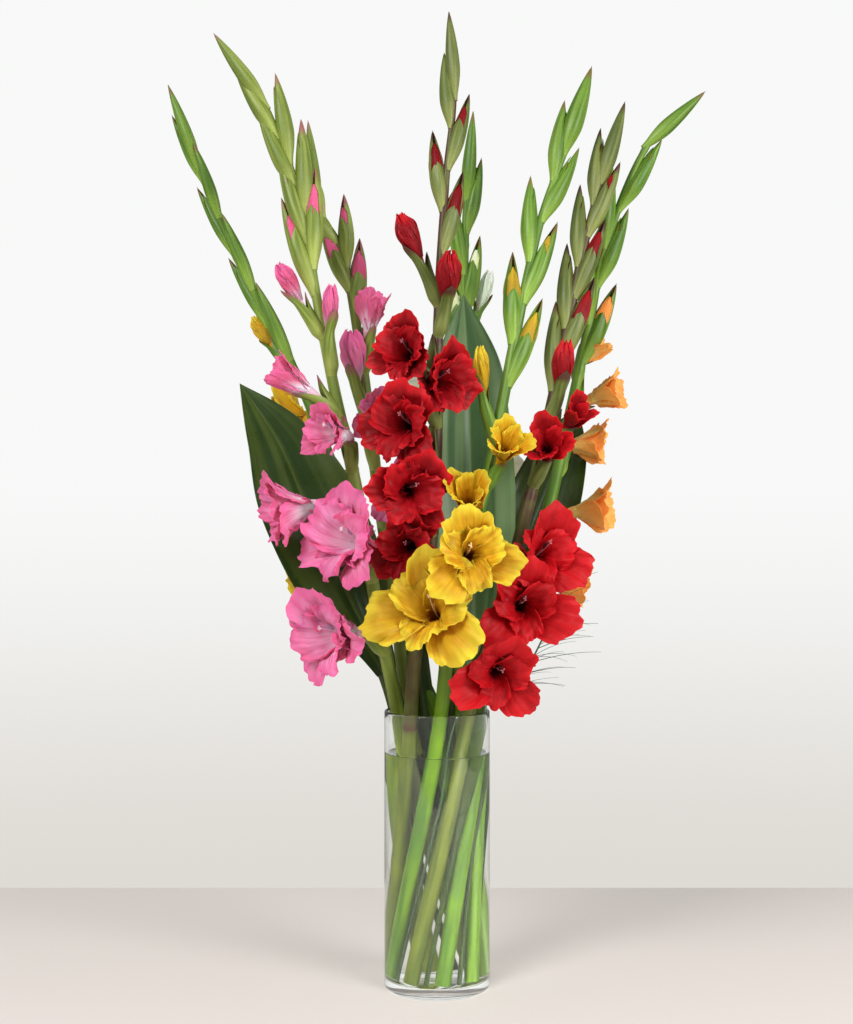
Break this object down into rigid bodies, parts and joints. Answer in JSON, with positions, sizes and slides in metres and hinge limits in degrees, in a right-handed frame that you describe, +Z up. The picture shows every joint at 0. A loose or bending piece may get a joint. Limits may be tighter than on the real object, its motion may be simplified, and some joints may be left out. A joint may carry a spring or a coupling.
{
  "type": "cut gladiolus in a vase",
  "caption": "Tall flower spikes with ruffled funnel flowers and closed bud tips, standing with broad leaves and a fine sprig in a clear cylindrical vase of water.",
  "frame": {"origin": "centre of the vase's foot, on the surface that it stands on", "axes": "+Z up along the vase's axis, -Y towards the viewer of the arrangement's front, +X to the viewer's right"},
  "size_m": [0.527, 0.3049, 0.922],
  "materials": {
    "stem_bronze": "satin bronze-green skin",
    "stem_fresh": "satin green skin",
    "broad_leaf": "smooth dark green leaf",
    "sprig": "wiry dark green",
    "petal_red": "soft velvety petal",
    "petal_yellow": "soft petal",
    "petal_orange": "soft petal",
    "petal_cream": "soft petal",
    "petal_pink": "soft petal",
    "water": "clear water",
    "clear_glass": "clear polished glass"
  },
  "bodies": {
    "root": {"red_centre_stem": "stem_bronze", "yellow_right_stem": "stem_fresh", "red_right_stem": "stem_bronze", "orange_right_stem": "stem_fresh", "cream_back_stem": "stem_fresh", "yellow_left_stem": "stem_fresh", "pink_back_stem": "stem_fresh", "pink_left_stem": "stem_fresh", "broad_leaf_left": "broad_leaf", "broad_leaf_centre": "broad_leaf", "broad_leaf_right": "broad_leaf", "fine_sprig": "sprig", "red_centre_flower_1": "petal_red", "red_centre_flower_2": "petal_red", "red_centre_flower_3": "petal_red", "red_centre_flower_4": "petal_red", "red_centre_flower_5": "petal_red", "red_centre_flower_6": "petal_red", "red_centre_flower_7": "petal_red", "yellow_right_flower_1": "petal_yellow", "yellow_right_flower_2": "petal_yellow", "yellow_right_flower_3": "petal_yellow", "yellow_right_flower_4": "petal_yellow", "yellow_right_flower_5": "petal_yellow", "red_right_flower_1": "petal_red", "red_right_flower_2": "petal_red", "red_right_flower_3": "petal_red", "red_right_flower_4": "petal_red", "red_right_flower_5": "petal_red", "red_right_flower_6": "petal_red", "orange_right_flower_1": "petal_orange", "orange_right_flower_2": "petal_orange", "orange_right_flower_3": "petal_orange", "orange_right_flower_4": "petal_orange", "orange_right_flower_5": "petal_orange", "cream_back_flower_1": "petal_cream", "cream_back_flower_2": "petal_cream", "cream_back_flower_3": "petal_cream", "cream_back_flower_4": "petal_cream", "yellow_left_flower_1": "petal_yellow", "yellow_left_flower_2": "petal_yellow", "yellow_left_flower_3": "petal_yellow", "yellow_left_flower_4": "petal_yellow", "pink_back_flower_1": "petal_pink", "pink_back_flower_2": "petal_pink", "pink_back_flower_3": "petal_pink", "pink_back_flower_4": "petal_pink", "pink_left_flower_1": "petal_pink", "pink_left_flower_2": "petal_pink", "pink_left_flower_3": "petal_pink", "pink_left_flower_4": "petal_pink", "pink_left_flower_5": "petal_pink", "pink_left_flower_6": "petal_pink", "pink_left_flower_7": "petal_pink", "water": "water", "glass_vase": "clear_glass"}
  },
  "joints": []
}
